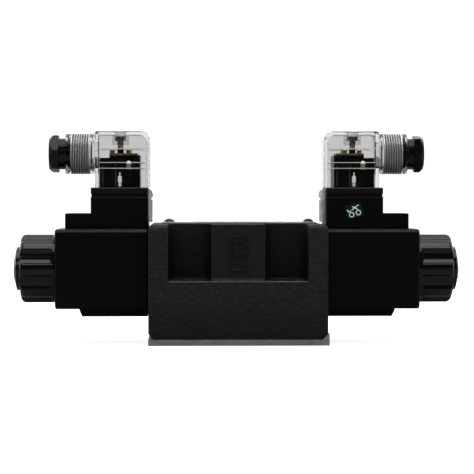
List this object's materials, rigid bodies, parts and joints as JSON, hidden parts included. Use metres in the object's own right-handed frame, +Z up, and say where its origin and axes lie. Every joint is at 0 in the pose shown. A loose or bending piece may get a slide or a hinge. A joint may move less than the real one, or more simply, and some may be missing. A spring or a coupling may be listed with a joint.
{
  "type": "solenoid directional valve",
  "caption": "Two-solenoid spool valve block with clear plug connectors, fluted coil nuts and a five-port mounting face on a four-bolt pattern.",
  "frame": {"origin": "middle of the mounting face, which is the underside of the seal plate, between the four bolt holes", "axes": "+X along the spool towards solenoid b, +Z up out of the mounting face, -Y towards the side whose web carries the foundry mark"},
  "size_m": [0.2294, 0.07, 0.1081],
  "materials": {
    "cast_iron_black": "rough black-painted casting",
    "plate_grey": "dull zinc grey",
    "seal_rubber": "matt",
    "plate_aluminium": "fine brushed",
    "zinc_yellow": "yellow zinc plate",
    "ground_steel": "ground",
    "spring_steel": "oiled wire",
    "soft_iron": "nickel plated",
    "plated_steel": "zinc plated",
    "tinned_brass": "tinned",
    "coil_black": "satin moulding",
    "bobbin_plastic": "natural nylon",
    "copper_wire": "enamelled wire",
    "cover_frosted": "frosted clear plastic",
    "nut_gloss_black": "gloss moulding",
    "gasket_black": "matt",
    "insert_black": "satin moulding",
    "lamp_lens": "clear lens",
    "resistor_white": "white ceramic",
    "board_yellow": "yellow-green laminate",
    "brass": "turned",
    "hood_clear": "clear polycarbonate",
    "seal_silicone": "natural silicone",
    "gland_black": "satin moulding"
  },
  "bodies": {
    "root": {"valve_body": "cast_iron_black", "seal_plate": "plate_grey", "port_seals": "seal_rubber", "nameplate": "plate_aluminium", "nameplate_screws": "zinc_yellow", "pole_piece_a": "plated_steel", "core_tube_a": "plated_steel", "end_plug_a": "plated_steel", "tube_seal_a": "seal_rubber", "coil_housing_a": "coil_black", "coil_bobbin_a": "bobbin_plastic", "coil_winding_a": "copper_wire", "coil_terminals_a": "tinned_brass", "boss_cover_a": "cover_frosted", "centring_spring_a": "spring_steel", "pole_piece_b": "plated_steel", "core_tube_b": "plated_steel", "end_plug_b": "plated_steel", "tube_seal_b": "seal_rubber", "coil_housing_b": "coil_black", "coil_bobbin_b": "bobbin_plastic", "coil_winding_b": "copper_wire", "coil_terminals_b": "tinned_brass", "boss_cover_b": "cover_frosted", "centring_spring_b": "spring_steel"},
    "spool": {"spool": "ground_steel", "spring_retainer_a": "ground_steel", "spring_retainer_b": "ground_steel"},
    "armature_a": {"armature_a": "soft_iron", "push_rod_a": "ground_steel"},
    "override_pin_a": {"override_pin_a": "ground_steel"},
    "nut_ring_a": {"nut_seal_a": "seal_rubber"},
    "coil_nut_a": {"coil_nut_a": "nut_gloss_black"},
    "plug_a": {"connector_gasket_a": "gasket_black", "terminal_block_a": "insert_black", "indicator_leds_a": "lamp_lens", "indicator_resistors_a": "resistor_white", "indicator_board_a": "board_yellow", "terminal_screws_a": "brass", "connector_hood_a": "hood_clear", "gland_seal_a": "seal_silicone"},
    "hood_screw_a": {"hood_screw_a": "plated_steel"},
    "gland_ring_a": {"gland_washer_a": "gland_black"},
    "gland_nut_a": {"gland_nut_a": "gland_black"},
    "armature_b": {"armature_b": "soft_iron", "push_rod_b": "ground_steel"},
    "override_pin_b": {"override_pin_b": "ground_steel"},
    "nut_ring_b": {"nut_seal_b": "seal_rubber"},
    "coil_nut_b": {"coil_nut_b": "nut_gloss_black"},
    "plug_b": {"connector_gasket_b": "gasket_black", "terminal_block_b": "insert_black", "indicator_leds_b": "lamp_lens", "indicator_resistors_b": "resistor_white", "indicator_board_b": "board_yellow", "terminal_screws_b": "brass", "connector_hood_b": "hood_clear", "gland_seal_b": "seal_silicone"},
    "hood_screw_b": {"hood_screw_b": "plated_steel"},
    "gland_ring_b": {"gland_washer_b": "gland_black"},
    "gland_nut_b": {"gland_nut_b": "gland_black"}
  },
  "joints": [
    {"name": "spool_shift", "type": "slide", "parent": "root", "child": "spool", "axis": [1, 0, 0], "range_m": [-0.0035, 0.0035], "stiffness_N_per_m": 3000, "deforming": ["centring_spring_a", "centring_spring_b"]},
    {"name": "armature_a_slide", "type": "slide", "parent": "root", "child": "armature_a", "axis": [1, 0, 0], "range_m": [-0.0035, 0.0035]},
    {"name": "override_a_push", "type": "slide", "parent": "root", "child": "override_pin_a", "axis": [1, 0, 0], "range_m": [-0.0035, 0.0035]},
    {"name": "coil_nut_a_travel", "type": "slide", "parent": "root", "child": "nut_ring_a", "axis": [-1, 0, 0], "range_m": [0, 0.009]},
    {"name": "coil_nut_a_turn", "type": "hinge", "parent": "nut_ring_a", "child": "coil_nut_a", "pos_m": [-0.1, 0, 0.0375], "axis": [-1, 0, 0], "range_deg": [0, 2160]},
    {"name": "plug_a_lift", "type": "slide", "parent": "root", "child": "plug_a", "axis": [0, 0, 1], "range_m": [0, 0.025]},
    {"name": "hood_screw_a_turn", "type": "hinge", "parent": "plug_a", "child": "hood_screw_a", "pos_m": [-0.06, 0, 0.09], "axis": [0, 0, 1], "range_deg": [0, 5040]},
    {"name": "gland_nut_a_travel", "type": "slide", "parent": "plug_a", "child": "gland_ring_a", "axis": [-1, 0, 0], "range_m": [0, 0.003]},
    {"name": "gland_nut_a_turn", "type": "hinge", "parent": "gland_ring_a", "child": "gland_nut_a", "pos_m": [-0.09, 0, 0.0967], "axis": [-1, 0, 0], "range_deg": [0, 720]},
    {"name": "armature_b_slide", "type": "slide", "parent": "root", "child": "armature_b", "axis": [1, 0, 0], "range_m": [-0.0035, 0.0035]},
    {"name": "override_b_push", "type": "slide", "parent": "root", "child": "override_pin_b", "axis": [1, 0, 0], "range_m": [-0.0035, 0.0035]},
    {"name": "coil_nut_b_travel", "type": "slide", "parent": "root", "child": "nut_ring_b", "axis": [1, 0, 0], "range_m": [0, 0.009]},
    {"name": "coil_nut_b_turn", "type": "hinge", "parent": "nut_ring_b", "child": "coil_nut_b", "pos_m": [0.1, 0, 0.0375], "axis": [1, 0, 0], "range_deg": [0, 2160]},
    {"name": "plug_b_lift", "type": "slide", "parent": "root", "child": "plug_b", "axis": [0, 0, 1], "range_m": [0, 0.025]},
    {"name": "hood_screw_b_turn", "type": "hinge", "parent": "plug_b", "child": "hood_screw_b", "pos_m": [0.06, 0, 0.09], "axis": [0, 0, 1], "range_deg": [0, 5040]},
    {"name": "gland_nut_b_travel", "type": "slide", "parent": "plug_b", "child": "gland_ring_b", "axis": [1, 0, 0], "range_m": [0, 0.003]},
    {"name": "gland_nut_b_turn", "type": "hinge", "parent": "gland_ring_b", "child": "gland_nut_b", "pos_m": [0.09, 0, 0.0967], "axis": [1, 0, 0], "range_deg": [0, 720]}
  ],
  "couplings": [
    {"joint": "armature_a_slide", "follows": "spool_shift", "ratio": 1},
    {"joint": "override_a_push", "follows": "spool_shift", "ratio": 1},
    {"joint": "coil_nut_a_travel", "follows": "coil_nut_a_turn", "m_per_rad": 0.00023873},
    {"joint": "gland_nut_a_travel", "follows": "gland_nut_a_turn", "m_per_rad": 0.00023873},
    {"joint": "armature_b_slide", "follows": "spool_shift", "ratio": 1},
    {"joint": "override_b_push", "follows": "spool_shift", "ratio": 1},
    {"joint": "coil_nut_b_travel", "follows": "coil_nut_b_turn", "m_per_rad": 0.00023873},
    {"joint": "gland_nut_b_travel", "follows": "gland_nut_b_turn", "m_per_rad": 0.00023873}
  ]
}
